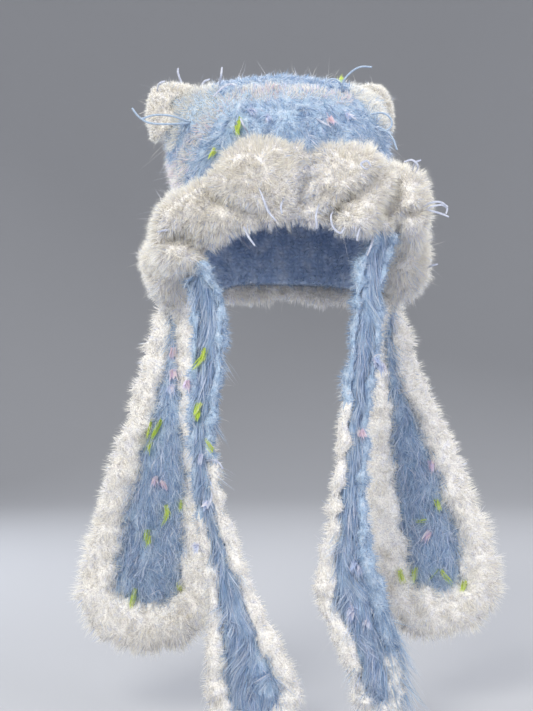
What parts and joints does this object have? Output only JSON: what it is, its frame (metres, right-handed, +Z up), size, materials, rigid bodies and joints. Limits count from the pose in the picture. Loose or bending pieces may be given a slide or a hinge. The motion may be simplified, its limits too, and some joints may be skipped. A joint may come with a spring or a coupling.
{
  "type": "crochet cat ear hat",
  "caption": "Soft crochet bag hat with fluffy cat ears, a ruffled fur brim round the face, long flared side flaps and narrow ties.",
  "frame": {"origin": "inside of the crown's top, where the hat sits on a head", "axes": "+Z up, the face opening looks along -Y, +X to the right of someone who faces the hat"},
  "size_m": [0.4886, 0.2947, 0.7326],
  "materials": {
    "blue_pile": "shaggy light blue feather yarn",
    "white_fur": "deep soft warm white fur yarn"
  },
  "bodies": {
    "root": {"crown_bag": "blue_pile", "ear_left": "white_fur", "ear_right": "white_fur", "brim_ruffle": "white_fur", "flap_left_panel": "blue_pile", "flap_left_trim": "white_fur", "flap_right_panel": "blue_pile", "flap_right_trim": "white_fur", "tie_left_panel": "blue_pile", "tie_left_trim": "white_fur", "tie_right_panel": "blue_pile", "tie_right_trim": "white_fur"}
  },
  "joints": []
}
